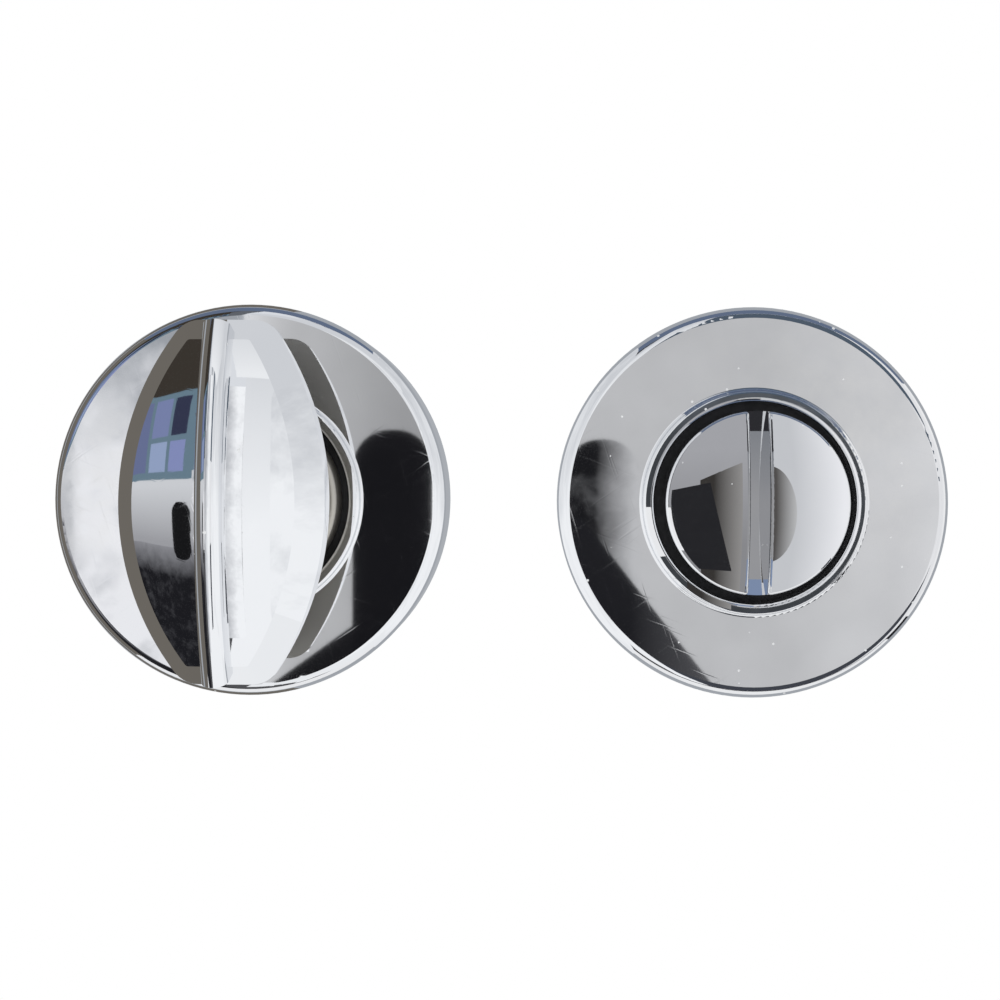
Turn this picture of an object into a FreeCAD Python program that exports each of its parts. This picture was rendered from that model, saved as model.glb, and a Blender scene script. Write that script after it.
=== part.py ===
import FreeCAD, Part
import os
import Sketcher

# Bathroom turn and release set: a thumb turn with a leaf-shaped wing knob and a coin-slot release,
# each on its own round rose. World frame: +Z up, the roses face -Y, the door face is the plane y = 0,
# and the origin is the centre of the back of the turn's rose.
# Each piece is drawn with its own z axis pointing out of the door, then stood up by its placement.

SIZES = {
    "centre_distance": 66.8,
    "rose_radius": 26.0,
    "rose_depth": 9.0,
    "rose_edge_round": 1.6,
    "cover_wall": 1.2,
    "cover_inner_round": 0.5,
    "bead_gap": 1.3,
    "bead_width": 1.5,
    "bead_rise": 0.9,
    "bead_round": 0.4,
    "fit_gap": 0.05,
    "run_gap": 0.1,
    "plate_depth": 6.0,
    "plate_rim_width": 1.2,
    "screw_spacing": 38.0,
    "screw_hole_radius": 2.2,
    "screw_head_radius": 4.0,
    "screw_seat_depth": 2.0,
    "recess_depth": 3.4,
    "recess_gap": 0.4,
    "bush_wall": 2.0,
    "bush_flange_width": 1.8,
    "bush_flange_depth": 0.8,
    "bush_stand": 0.5,
    "journal_radius": 8.0,
    "journal_inset": 0.3,
    "journal_chamfer": 0.25,
    "clip_depth": 0.7,
    "clip_groove_depth": 0.6,
    "clip_width": 2.2,
    "clip_mouth": 5.0,
    "clip_ear_radius": 1.1,
    "clip_eye_radius": 0.55,
    "washer_depth": 0.5,
    "washer_width": 3.0,
    "spring_depth": 0.35,
    "spring_dish": 0.25,
    "hub_radius": 12.0,
    "hub_rise": 1.6,
    "hub_round": 0.7,
    "hub_land": 0.3,
    "neck_foot_round": 3.4,
    "neck_head_round": 2.6,
    "wing_half_length": 22.4,
    "wing_half_width": 12.5,
    "wing_half_end": 5.2,
    "wing_inner_corner": 0.6,
    "wing_back_rise": 10.2,
    "wing_wall": 1.2,
    "wing_edge_bevel": 3.0,
    "crown_sweep": 170.0,
    "crown_radius_across": 40.0,
    "crown_radius_along": 62.0,
    "rib_half_width": 1.6,
    "rib_half_length": 20.9,
    "rib_rise": 2.6,
    "spindle_side": 5.0,
    "spindle_length": 66.0,
    "spindle_grip": 10.0,
    "spindle_play": 0.05,
    "pin_radius": 1.0,
    "pin_height": 5.0,
    "dome_rim_rise": 2.3,
    "dome_radius": 38.0,
    "dome_edge_round": 0.42,
    "slot_half_width": 1.25,
    "slot_rim_depth": 1.03,
    "slot_floor_radius": 45.0,
    "socket_depth": 7.0,
}

doc = FreeCAD.newDocument("TurnAndRelease")
sheet = doc.addObject("Spreadsheet::Sheet", "Dims")
for row, (alias, number) in enumerate(SIZES.items(), start=1):
    sheet.set(f"A{row}", alias)
    sheet.set(f"B{row}", str(number))
    sheet.setAlias(f"B{row}", alias)
doc.recompute()


class Size:
    """A length with its value in millimetres and the expression that drives it."""

    def __init__(self, value, text):
        self.value = value
        self.text = text

    def __add__(self, other):
        return Size(self.value + other.value, f"({self.text} + {other.text})")

    def __sub__(self, other):
        return Size(self.value - other.value, f"({self.text} - {other.text})")

    def __mul__(self, other):
        return Size(self.value * other.value, f"({self.text} * {other.text})")

    def __truediv__(self, other):
        return Size(self.value / other.value, f"({self.text} / {other.text})")

    def __neg__(self):
        return Size(-self.value, f"(0 - {self.text})")


def cell(alias):
    return Size(float(sheet.get(alias)), f"Dims.{alias}")


def sag(radius, reach):
    """How far an arc of this radius drops between its middle and this reach."""
    inside = radius * radius - reach * reach
    return radius - Size(inside.value ** 0.5, f"sqrt({inside.text})")


two = Size(2.0, "2")

rose_radius = cell("rose_radius")
rose_depth = cell("rose_depth")
cover_wall = cell("cover_wall")
hub_radius = cell("hub_radius")
bead_bore = hub_radius + cell("bead_gap")
bead_outer = bead_bore + cell("bead_width")
bead_top = rose_depth + cell("bead_rise")
cover_inside = rose_radius - cover_wall
cover_under = rose_depth - cover_wall

plate_radius = cover_inside - cell("fit_gap")
plate_depth = cell("plate_depth")
plate_rim_inner = plate_radius - cell("plate_rim_width")

journal_radius = cell("journal_radius")
journal_end = cell("journal_inset")
bush_bore = journal_radius + cell("fit_gap")
bush_outer = bush_bore + cell("bush_wall")
bush_flange = bush_outer + cell("bush_flange_width")
recess_depth = cell("recess_depth")
recess_radius = bush_flange + cell("recess_gap")
bush_back = recess_depth - cell("bush_flange_depth")
bush_front = plate_depth + cell("bush_stand")

hub_back = bush_front + cell("run_gap")

spring_front = bush_back - cell("run_gap")
spring_back = spring_front - cell("spring_depth") - cell("spring_dish")
washer_back = spring_back - cell("washer_depth")
clip_front = washer_back
clip_back = clip_front - cell("clip_depth")
groove_radius = journal_radius - cell("clip_groove_depth")
washer_inner = journal_radius + cell("fit_gap")
washer_outer = washer_inner + cell("washer_width")


def plane(body, role):
    for feature in body.Origin.OriginFeatures:
        if feature.Role == role:
            return feature
    raise ValueError(f"no origin plane {role}")


def new_body(label):
    body = doc.addObject("PartDesign::Body", label)
    body.Label = label
    return body


def new_sketch(body, name, role):
    sketch = body.newObject("Sketcher::SketchObject", name)
    sketch.AttachmentSupport = [(plane(body, role), "")]
    sketch.MapMode = "FlatFace"
    return sketch


def dimension(sketch, kind, geo, pos, size):
    """Ties one coordinate of a sketch point to its size, measured from the origin of the sketch."""
    if size is None:
        axis = -2 if kind == "DistanceX" else -1
        sketch.addConstraint(Sketcher.Constraint("PointOnObject", geo, pos, axis))
        return
    if size.value < 0:
        rule = Sketcher.Constraint(kind, geo, pos, -1, 1, -size.value)
        text = (-size).text
    else:
        rule = Sketcher.Constraint(kind, -1, 1, geo, pos, size.value)
        text = size.text
    number = sketch.addConstraint(rule)
    sketch.setExpression(f"Constraints[{number}]", text)


def place(sketch, geo, pos, across, up):
    dimension(sketch, "DistanceX", geo, pos, across)
    dimension(sketch, "DistanceY", geo, pos, up)


def spot(across, up):
    return FreeCAD.Vector(across.value if across else 0.0, up.value if up else 0.0, 0.0)


def polygon(sketch, corners):
    """Draws a closed chain of straight edges; None stands for a coordinate on the axis."""
    first = sketch.GeometryCount
    count = len(corners)
    for index, corner in enumerate(corners):
        following = corners[(index + 1) % count]
        sketch.addGeometry(Part.LineSegment(spot(*corner), spot(*following)), False)
    for index in range(count):
        after = first + (index + 1) % count
        sketch.addConstraint(Sketcher.Constraint("Coincident", first + index, 2, after, 1))
    for index, corner in enumerate(corners):
        place(sketch, first + index, 1, *corner)


def revolve(body, name, corners):
    """Turns a closed profile of radius and height about the piece's own z axis."""
    sketch = new_sketch(body, name + "Profile", "XZ_Plane")
    polygon(sketch, corners)
    turned = body.newObject("PartDesign::Revolution", name)
    turned.Profile = sketch
    turned.ReferenceAxis = (sketch, ["V_Axis"])
    turned.Angle = 360.0
    doc.recompute()
    return turned


def near(one, other):
    return abs(one - other) < 1e-4


def dress_edges(body, kind, name, wanted, prop, size):
    """Dresses the edges of the body so far that the test picks out."""
    base = body.Tip
    edges = enumerate(base.Shape.Edges, start=1)
    names = [f"Edge{i}" for i, edge in edges if not edge.Degenerated and wanted(edge)]
    if not names:
        raise ValueError(f"{body.Label}: no edges for {name}")
    feature = body.newObject(kind, name)
    feature.Base = (base, names)
    feature.setExpression(prop, size.text)
    doc.recompute()


def round_edges(body, name, wanted, size):
    dress_edges(body, "PartDesign::Fillet", name, wanted, "Radius", size)


def bevel_edges(body, name, wanted, size):
    dress_edges(body, "PartDesign::Chamfer", name, wanted, "Size", size)


def ring_edge(radius, height):
    """Picks the circle of this radius at this height about the z axis."""
    def wanted(edge):
        if not isinstance(edge.Curve, Part.Circle):
            return False
        centre = edge.Curve.Center
        on_axis = near(centre.x, 0.0) and near(centre.y, 0.0)
        return on_axis and near(edge.Curve.Radius, radius.value) and near(centre.z, height.value)
    return wanted


def pocket(body, name, sketch, depth, reversed_way):
    before = body.Tip.Shape.Volume
    cut = body.newObject("PartDesign::Pocket", name)
    cut.Profile = sketch
    cut.Reversed = reversed_way
    if depth is None:
        cut.Type = "ThroughAll"
        cut.Midplane = True
    else:
        cut.setExpression("Length", depth.text)
    doc.recompute()
    if cut.Shape.Volume >= before:
        raise ValueError(f"{body.Label}: {name} cuts nothing")
    return cut


def stand_up(piece, offset):
    """Turns a piece so that its own z axis points out of the door, and moves it along the door."""
    piece.Placement = FreeCAD.Placement(
        FreeCAD.Vector(0, 0, 0), FreeCAD.Rotation(FreeCAD.Vector(1, 0, 0), 90)
    )
    if offset is not None:
        piece.setExpression("Placement.Base.x", offset.text)


pieces = []


def finish(piece, offset):
    stand_up(piece, offset)
    pieces.append(piece)


def rose_cover(label, offset):
    """A pressed cup with a raised bead round its centre hole."""
    body = new_body(label)
    revolve(body, label + "Cup", [
        (rose_radius, None),
        (rose_radius, rose_depth),
        (bead_outer, rose_depth),
        (bead_outer, bead_top),
        (bead_bore, bead_top),
        (bead_bore, cover_under),
        (cover_inside, cover_under),
        (cover_inside, None),
    ])
    round_edges(body, label + "Edge", ring_edge(rose_radius, rose_depth), cell("rose_edge_round"))
    round_edges(body, label + "Bead", ring_edge(bead_outer, bead_top), cell("bead_round"))
    round_edges(body, label + "Lip", ring_edge(bead_bore, bead_top), cell("bead_round"))
    round_edges(body, label + "Root", ring_edge(bead_outer, rose_depth), cell("bead_round"))
    round_edges(body, label + "Inside", ring_edge(cover_inside, cover_under), cell("cover_inner_round"))
    finish(body, offset)


def base_plate(label, offset):
    """The plate that is screwed to the door: a rim that carries the cover, two screw holes, a bush seat."""
    body = new_body(label)
    rim_edge = plate_radius - cell("cover_inner_round")
    revolve(body, label + "Disc", [
        (recess_radius, None),
        (plate_radius, None),
        (plate_radius, plate_depth),
        (rim_edge, cover_under),
        (plate_rim_inner - cell("cover_inner_round"), cover_under),
        (plate_rim_inner - cell("cover_inner_round"), plate_depth),
        (bush_outer, plate_depth),
        (bush_outer, recess_depth),
        (recess_radius, recess_depth),
    ])
    half = cell("screw_spacing") / two
    for name, radius, depth in (
        ("Holes", cell("screw_hole_radius"), None),
        ("Seats", cell("screw_head_radius"), cell("screw_seat_depth")),
    ):
        sketch = new_sketch(body, label + name + "Sketch", "XY_Plane")
        if depth is not None:
            sketch.AttachmentOffset = FreeCAD.Placement(
                FreeCAD.Vector(0, 0, plate_depth.value), FreeCAD.Rotation()
            )
            sketch.setExpression("AttachmentOffset.Base.z", plate_depth.text)
        for centre in (half, -half):
            circle = Part.Circle(FreeCAD.Vector(centre.value, 0, 0), FreeCAD.Vector(0, 0, 1), radius.value)
            geo = sketch.addGeometry(circle, False)
            number = sketch.addConstraint(Sketcher.Constraint("Radius", geo, radius.value))
            sketch.setExpression(f"Constraints[{number}]", radius.text)
            place(sketch, geo, 3, centre, None)
        doc.recompute()
        pocket(body, label + name, sketch, depth, False)
    finish(body, offset)


def bearing_bush(label, offset):
    """A sleeve pushed into the plate from behind, with its flange against the recess."""
    body = new_body(label)
    revolve(body, label + "Sleeve", [
        (bush_bore, bush_back),
        (bush_flange, bush_back),
        (bush_flange, recess_depth),
        (bush_outer, recess_depth),
        (bush_outer, bush_front),
        (bush_bore, bush_front),
    ])
    finish(body, offset)


def disc_spring(label, offset):
    """A dished ring that takes up the end play between the bush and the thrust washer."""
    body = new_body(label)
    thick = cell("spring_depth")
    revolve(body, label + "Ring", [
        (washer_inner, spring_front - thick),
        (washer_outer, spring_back),
        (washer_outer, spring_back + thick),
        (washer_inner, spring_front),
    ])
    finish(body, offset)


def thrust_washer(label, offset):
    body = new_body(label)
    revolve(body, label + "Ring", [
        (washer_inner, washer_back),
        (washer_outer, washer_back),
        (washer_outer, spring_back),
        (washer_inner, spring_back),
    ])
    finish(body, offset)


def cylinder(name, radius, depth, across, up, height):
    made = doc.addObject("Part::Cylinder", name)
    made.setExpression("Radius", radius.text)
    made.setExpression("Height", depth.text)
    for axis, size in (("x", across), ("y", up), ("z", height)):
        if size is not None:
            made.setExpression(f"Placement.Base.{axis}", size.text)
    return made


def combine(kind, name, base, tool):
    joined = doc.addObject(kind, name)
    joined.Base = base
    joined.Tool = tool
    return joined


def circlip(label, offset):
    """An open ring sprung into the journal's groove, with an eyed ear at each end of its mouth."""
    depth = cell("clip_depth")
    outer = groove_radius + cell("clip_width")
    mouth = cell("clip_mouth")
    ring = combine(
        "Part::Cut",
        label + "Ring",
        cylinder(label + "Outer", outer, depth, None, None, clip_back),
        cylinder(label + "Inner", groove_radius + cell("fit_gap"), depth, None, None, clip_back),
    )
    gap = doc.addObject("Part::Box", label + "Mouth")
    gap.setExpression("Length", mouth.text)
    gap.setExpression("Width", (outer * two).text)
    gap.setExpression("Height", depth.text)
    gap.setExpression("Placement.Base.x", (-(mouth / two)).text)
    gap.setExpression("Placement.Base.z", clip_back.text)
    piece = combine("Part::Cut", label + "Open", ring, gap)
    ear_across = mouth / two + cell("clip_ear_radius") / two
    ear_up = outer - cell("clip_ear_radius") / two
    for side, across in (("Left", -ear_across), ("Right", ear_across)):
        ear = cylinder(label + side + "Ear", cell("clip_ear_radius"), depth, across, ear_up, clip_back)
        piece = combine("Part::Fuse", label + side + "Eared", piece, ear)
        eye = cylinder(label + side + "Eye", cell("clip_eye_radius"), depth, across, ear_up, clip_back)
        piece = combine("Part::Cut", label + side + "Eyed", piece, eye)
    doc.recompute()
    piece.Label = label
    finish(piece, offset)


def journal_profile(top):
    """The stepped profile shared by the knob and the button: journal, clip groove and hub."""
    bevel = cell("journal_chamfer")
    return [
        (None, journal_end),
        (journal_radius - bevel, journal_end),
        (journal_radius, journal_end + bevel),
        (journal_radius, clip_back),
        (groove_radius, clip_back),
        (groove_radius, clip_front),
        (journal_radius, clip_front),
        (journal_radius, hub_back),
        (hub_radius, hub_back),
        (hub_radius, top),
    ]


def square(sketch, half):
    polygon(sketch, [(-half, -half), (half, -half), (half, half), (-half, half)])


def square_socket(body, label, depth):
    """A square hole up the journal from behind, for the spindle."""
    sketch = new_sketch(body, label + "SocketSketch", "XY_Plane")
    sketch.setExpression("AttachmentOffset.Base.z", journal_end.text)
    square(sketch, cell("spindle_side") / two + cell("spindle_play"))
    doc.recompute()
    pocket(body, label + "Socket", sketch, depth, True)


def axis_across(sketch, height, reach):
    """Adds a construction line along x at this height, to turn a profile about."""
    geo = sketch.addGeometry(Part.LineSegment(spot(-reach, height), spot(reach, height)), True)
    place(sketch, geo, 1, -reach, height)
    place(sketch, geo, 2, reach, height)


def turn_knob(label):
    """The wing knob: hub and neck turned, a crowned leaf-shaped wing, and a rounded rib along it."""
    body = new_body(label)
    hub_top = bead_top + cell("hub_rise")
    wing_back = rose_depth + cell("wing_back_rise")
    half_length = cell("wing_half_length")
    across = cell("crown_radius_across")
    along = cell("crown_radius_along")
    bevel = cell("wing_edge_bevel")
    apex = wing_back + cell("wing_wall") + bevel + sag(along, half_length)
    neck_radius = hub_radius - cell("hub_round") - cell("hub_land") - cell("neck_foot_round")
    revolve(body, label + "Hub", journal_profile(hub_top) + [
        (neck_radius, hub_top),
        (neck_radius, wing_back),
        (None, wing_back),
    ])

    half_width = cell("wing_half_width")
    half_end = cell("wing_half_end")
    bulge = half_width - half_end
    side_radius = (half_length * half_length + bulge * bulge) / (two * bulge)
    leaf = new_sketch(body, label + "Leaf", "XY_Plane")
    leaf.setExpression("AttachmentOffset.Base.z", wing_back.text)
    up = FreeCAD.Vector(0, 0, 1)
    for way in (1.0, -1.0):
        ends = [
            FreeCAD.Vector(way * half_end.value, -way * half_length.value, 0),
            FreeCAD.Vector(way * half_width.value, 0, 0),
            FreeCAD.Vector(way * half_end.value, way * half_length.value, 0),
        ]
        leaf.addGeometry(Part.Arc(*ends), False)
        leaf.addGeometry(
            Part.LineSegment(ends[2], FreeCAD.Vector(-way * half_end.value, way * half_length.value, 0)), False
        )
    for geo in range(4):
        leaf.addConstraint(Sketcher.Constraint("Coincident", geo, 2, (geo + 1) % 4, 1))
    for arc in (0, 2):
        number = leaf.addConstraint(Sketcher.Constraint("Radius", arc, side_radius.value))
        leaf.setExpression(f"Constraints[{number}]", side_radius.text)
    place(leaf, 0, 1, half_end, -half_length)
    place(leaf, 0, 2, half_end, half_length)
    place(leaf, 2, 1, -half_end, half_length)
    place(leaf, 2, 2, -half_end, -half_length)
    wing = body.newObject("PartDesign::Pad", label + "Wing")
    wing.Profile = leaf
    wing.setExpression("Length", (apex - wing_back).text)
    doc.recompute()

    def corner(edge):
        ends = [vertex.Point for vertex in edge.Vertexes]
        if len(ends) != 2 or not near(ends[0].x, ends[1].x) or not near(ends[0].y, ends[1].y):
            return False
        return near(abs(ends[0].x), half_end.value) and near(abs(ends[0].y), half_length.value)

    round_edges(body, label + "Corners", corner, bevel + cell("wing_inner_corner"))

    # The crown: what lies outside a barrel along the wing is turned away.
    crown = new_sketch(body, label + "CrownSketch", "YZ_Plane")
    reach = half_length + half_end
    centre_up = apex - along
    ceiling = apex + half_end
    drop = (along.value ** 2 - reach.value ** 2) ** 0.5
    left = FreeCAD.Vector(-reach.value, centre_up.value + drop, 0)
    right = FreeCAD.Vector(reach.value, centre_up.value + drop, 0)
    arc = crown.addGeometry(Part.Arc(left, spot(None, apex), right), False)
    chain = [right, spot(reach, ceiling), spot(-reach, ceiling), left]
    for start, end in zip(chain, chain[1:]):
        crown.addGeometry(Part.LineSegment(start, end), False)
    start_pos, end_pos = (1, 2) if crown.getPoint(arc, 1).x < 0 else (2, 1)
    crown.addConstraint(Sketcher.Constraint("Coincident", arc, end_pos, 1, 1))
    crown.addConstraint(Sketcher.Constraint("Coincident", 1, 2, 2, 1))
    crown.addConstraint(Sketcher.Constraint("Coincident", 2, 2, 3, 1))
    crown.addConstraint(Sketcher.Constraint("Coincident", 3, 2, arc, start_pos))
    place(crown, arc, 3, None, centre_up)
    number = crown.addConstraint(Sketcher.Constraint("Radius", arc, along.value))
    crown.setExpression(f"Constraints[{number}]", along.text)
    dimension(crown, "DistanceX", arc, start_pos, -reach)
    dimension(crown, "DistanceX", arc, end_pos, reach)
    place(crown, 2, 1, reach, ceiling)
    place(crown, 2, 2, -reach, ceiling)
    axis_across(crown, apex - across, reach)
    doc.recompute()
    before = body.Tip.Shape.Volume
    groove = body.newObject("PartDesign::Groove", label + "Crown")
    groove.Profile = crown
    groove.ReferenceAxis = (crown, ["Axis0"])
    groove.setExpression("Angle", "Dims.crown_sweep")
    groove.Midplane = True
    doc.recompute()
    if groove.Shape.Volume >= before:
        raise ValueError("the crown cuts nothing")

    # The bevelled band round the wing's face.
    turned_surface = Part.SurfaceOfRevolution
    crown_faces = [face for face in groove.Shape.Faces if isinstance(face.Surface, turned_surface)]

    def face_edge(edge):
        middle = edge.valueAt((edge.FirstParameter + edge.LastParameter) / 2)
        return any(face.distToShape(Part.Vertex(middle))[0] < 1e-4 for face in crown_faces)

    bevel_edges(body, label + "FaceBand", face_edge, bevel)

    # The rib, a bar with a rounded top, swept along the crown.
    rib_half = cell("rib_half_width")
    rib_top = apex + cell("rib_rise")
    shoulder = rib_top - rib_half
    rib = new_sketch(body, label + "RibSketch", "XZ_Plane")
    foot = apex - bevel
    rib.addGeometry(Part.LineSegment(spot(-rib_half, foot), spot(rib_half, foot)), False)
    rib.addGeometry(Part.LineSegment(spot(rib_half, foot), spot(rib_half, shoulder)), False)
    rib.addGeometry(Part.Arc(spot(rib_half, shoulder), spot(None, rib_top), spot(-rib_half, shoulder)), False)
    rib.addGeometry(Part.LineSegment(spot(-rib_half, shoulder), spot(-rib_half, foot)), False)
    for geo in range(4):
        rib.addConstraint(Sketcher.Constraint("Coincident", geo, 2, (geo + 1) % 4, 1))
    place(rib, 0, 1, -rib_half, foot)
    place(rib, 0, 2, rib_half, foot)
    place(rib, 2, 1, rib_half, shoulder)
    place(rib, 2, 2, -rib_half, shoulder)
    dimension(rib, "DistanceY", 2, 3, shoulder)
    axis_across(rib, centre_up, reach)
    doc.recompute()
    bar = body.newObject("PartDesign::Revolution", label + "Rib")
    bar.Profile = rib
    bar.ReferenceAxis = (rib, ["Axis0"])
    bar.Midplane = True
    bar.setExpression("Angle", f"2 * asin({(cell('rib_half_length') / along).text})")
    doc.recompute()

    round_edges(body, label + "NeckFoot", ring_edge(neck_radius, hub_top), cell("neck_foot_round"))
    round_edges(body, label + "NeckHead", ring_edge(neck_radius, wing_back), cell("neck_head_round"))
    round_edges(body, label + "HubEdge", ring_edge(hub_radius, hub_top), cell("hub_round"))
    square_socket(body, label, cell("spindle_grip"))
    hole = new_sketch(body, label + "PinSketch", "YZ_Plane")
    bore = cell("pin_radius") + cell("fit_gap")
    geo = hole.addGeometry(Part.Circle(spot(None, cell("pin_height")), up, bore.value), False)
    number = hole.addConstraint(Sketcher.Constraint("Radius", geo, bore.value))
    hole.setExpression(f"Constraints[{number}]", bore.text)
    place(hole, geo, 3, None, cell("pin_height"))
    doc.recompute()
    pocket(body, label + "PinHole", hole, None, False)
    finish(body, None)


def release_button(label, offset):
    """The release: a domed button with a coin slot right across it, cut with a curved floor."""
    body = new_body(label)
    rim = bead_top + cell("dome_rim_rise")
    ball = cell("dome_radius")
    sketch = new_sketch(body, label + "Profile", "XZ_Plane")
    corners = journal_profile(rim)
    count = len(corners)
    for index in range(count - 1):
        sketch.addGeometry(Part.LineSegment(spot(*corners[index]), spot(*corners[index + 1])), False)
    crest_up = rim + sag(ball, hub_radius)
    crest = spot(None, crest_up)
    half_way = spot(hub_radius / two, crest_up - sag(ball, hub_radius / two))
    dome = sketch.addGeometry(Part.Arc(spot(*corners[-1]), half_way, crest), False)
    sketch.addGeometry(Part.LineSegment(crest, spot(*corners[0])), False)
    rim_pos, crest_pos = (1, 2) if sketch.getPoint(dome, 1).x > hub_radius.value / 2 else (2, 1)
    for index in range(count - 2):
        sketch.addConstraint(Sketcher.Constraint("Coincident", index, 2, index + 1, 1))
    sketch.addConstraint(Sketcher.Constraint("Coincident", count - 2, 2, dome, rim_pos))
    sketch.addConstraint(Sketcher.Constraint("Coincident", dome, crest_pos, dome + 1, 1))
    sketch.addConstraint(Sketcher.Constraint("Coincident", dome + 1, 2, 0, 1))
    for index in range(count - 1):
        place(sketch, index, 1, *corners[index])
    place(sketch, count - 2, 2, *corners[-1])
    sketch.addConstraint(Sketcher.Constraint("PointOnObject", dome, crest_pos, -2))
    sketch.addConstraint(Sketcher.Constraint("PointOnObject", dome, 3, -2))
    number = sketch.addConstraint(Sketcher.Constraint("Radius", dome, ball.value))
    sketch.setExpression(f"Constraints[{number}]", ball.text)
    turned = body.newObject("PartDesign::Revolution", label + "Dome")
    turned.Profile = sketch
    turned.ReferenceAxis = (sketch, ["V_Axis"])
    turned.Angle = 360.0
    doc.recompute()

    # The slot's floor is the rim of a disc cutter that stands over the middle of the dome.
    cutter_radius = cell("slot_floor_radius")
    floor = rim - cell("slot_rim_depth") - sag(cutter_radius, hub_radius)
    half = cell("slot_half_width")
    cutter = new_sketch(body, label + "SlotSketch", "XZ_Plane")
    ceiling = crest_up + half
    polygon(cutter, [(-half, floor), (half, floor), (half, ceiling), (-half, ceiling)])
    axis_across(cutter, floor + cutter_radius, half)
    doc.recompute()
    before = body.Tip.Shape.Volume
    slot = body.newObject("PartDesign::Groove", label + "Slot")
    slot.Profile = cutter
    slot.ReferenceAxis = (cutter, ["Axis0"])
    slot.Angle = 360.0
    doc.recompute()
    if slot.Shape.Volume >= before:
        raise ValueError("the slot cuts nothing")

    on_rim = ring_edge(hub_radius, rim)

    def dome_edge(edge):
        if on_rim(edge):
            return True
        middle = edge.valueAt((edge.FirstParameter + edge.LastParameter) / 2)
        if not near(abs(middle.x), half.value):
            return False
        if isinstance(edge.Curve, Part.Line):
            return near((middle.x ** 2 + middle.y ** 2) ** 0.5, hub_radius.value)
        return isinstance(edge.Curve, Part.Circle) and edge.Curve.Radius < ball.value

    round_edges(body, label + "DomeEdge", dome_edge, cell("dome_edge_round"))
    square_socket(body, label, cell("socket_depth"))
    finish(body, offset)


def spindle(label):
    """The square bar that the knob turns, cross-drilled for its pin."""
    side = cell("spindle_side")
    length = cell("spindle_length")
    bar = doc.addObject("Part::Box", label + "Bar")
    bar.setExpression("Length", side.text)
    bar.setExpression("Width", side.text)
    bar.setExpression("Height", length.text)
    bar.setExpression("Placement.Base.x", (-(side / two)).text)
    bar.setExpression("Placement.Base.y", (-(side / two)).text)
    bar.setExpression("Placement.Base.z", (journal_end + cell("spindle_grip") - length).text)
    drill = cross_pin(label + "Drill", cell("pin_radius") + cell("fit_gap"), side)
    piece = combine("Part::Cut", label + "Drilled", bar, drill)
    doc.recompute()
    piece.Label = label
    finish(piece, None)


def cross_pin(name, radius, reach):
    """A cylinder along x through the axis, at the height of the pin."""
    made = doc.addObject("Part::Cylinder", name)
    made.Placement = FreeCAD.Placement(
        FreeCAD.Vector(0, 0, 0), FreeCAD.Rotation(FreeCAD.Vector(0, 1, 0), 90)
    )
    made.setExpression("Radius", radius.text)
    made.setExpression("Height", (reach * two).text)
    made.setExpression("Placement.Base.x", (-reach).text)
    made.setExpression("Placement.Base.z", cell("pin_height").text)
    return made


def spindle_pin(label):
    """The pin that holds the spindle in the knob's journal, just short of the journal's skin."""
    pin = cross_pin(label + "Pin", cell("pin_radius"), journal_radius - cell("journal_inset"))
    holder = doc.addObject("Part::Compound", label)
    holder.Links = [pin]
    doc.recompute()
    holder.Label = label
    finish(holder, None)


centre_distance = cell("centre_distance")
rose_cover("turn_rose_cover", None)
base_plate("turn_base_plate", None)
bearing_bush("turn_bearing_bush", None)
turn_knob("turn_knob")
spindle("turn_spindle")
spindle_pin("turn_spindle_pin")
disc_spring("turn_disc_spring", None)
thrust_washer("turn_thrust_washer", None)
circlip("turn_circlip", None)
rose_cover("release_rose_cover", centre_distance)
base_plate("release_base_plate", centre_distance)
bearing_bush("release_bearing_bush", centre_distance)
release_button("release_button", centre_distance)
disc_spring("release_disc_spring", centre_distance)
thrust_washer("release_thrust_washer", centre_distance)
circlip("release_circlip", centre_distance)

doc.recompute()
for item in doc.Objects:
    if "Invalid" in item.State or "Error" in item.State:
        raise ValueError(f"{item.Name} failed: {item.State}")
for piece in pieces:
    if piece.Shape.isNull() or not piece.Shape.isValid() or len(piece.Shape.Solids) != 1:
        raise ValueError(f"{piece.Label} is not one valid solid")

os.makedirs("parts", exist_ok=True)
for piece in pieces:
    piece.Shape.exportStep(f"parts/{piece.Label}.step")
    box = piece.Shape.BoundBox
    size = f"{box.XLength:.2f} x {box.YLength:.2f} x {box.ZLength:.2f} mm"
    print(f"{piece.Label}: {size}, {piece.Shape.Volume:.1f} mm3")
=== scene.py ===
import bpy
import bmesh
import math
from mathutils import Matrix

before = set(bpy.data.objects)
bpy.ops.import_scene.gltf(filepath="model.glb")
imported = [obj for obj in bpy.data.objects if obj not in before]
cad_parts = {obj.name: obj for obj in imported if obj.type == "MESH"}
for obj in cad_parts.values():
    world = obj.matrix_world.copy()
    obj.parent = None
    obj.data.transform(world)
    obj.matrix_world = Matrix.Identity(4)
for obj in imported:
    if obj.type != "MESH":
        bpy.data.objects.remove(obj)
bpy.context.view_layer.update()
mm = 0.001
print("frame loaded:", len(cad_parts), "nodes")


def newTree(name):
    mat = bpy.data.materials.new(name)
    mat.use_nodes = True
    tree = mat.node_tree
    tree.nodes.clear()
    return mat, tree


def addNode(tree, kind, x, y, **values):
    node = tree.nodes.new(kind)
    node.location = (x, y)
    for key, value in values.items():
        setattr(node, key, value)
    return node


def newGroup(name, inputs, outputs):
    group = bpy.data.node_groups.new(name, "ShaderNodeTree")
    for label, kind in inputs:
        group.interface.new_socket(label, in_out="INPUT", socket_type=kind)
    for label, kind in outputs:
        group.interface.new_socket(label, in_out="OUTPUT", socket_type=kind)
    return group, addNode(group, "NodeGroupInput", -900, 0), addNode(group, "NodeGroupOutput", 900, 0)


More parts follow.
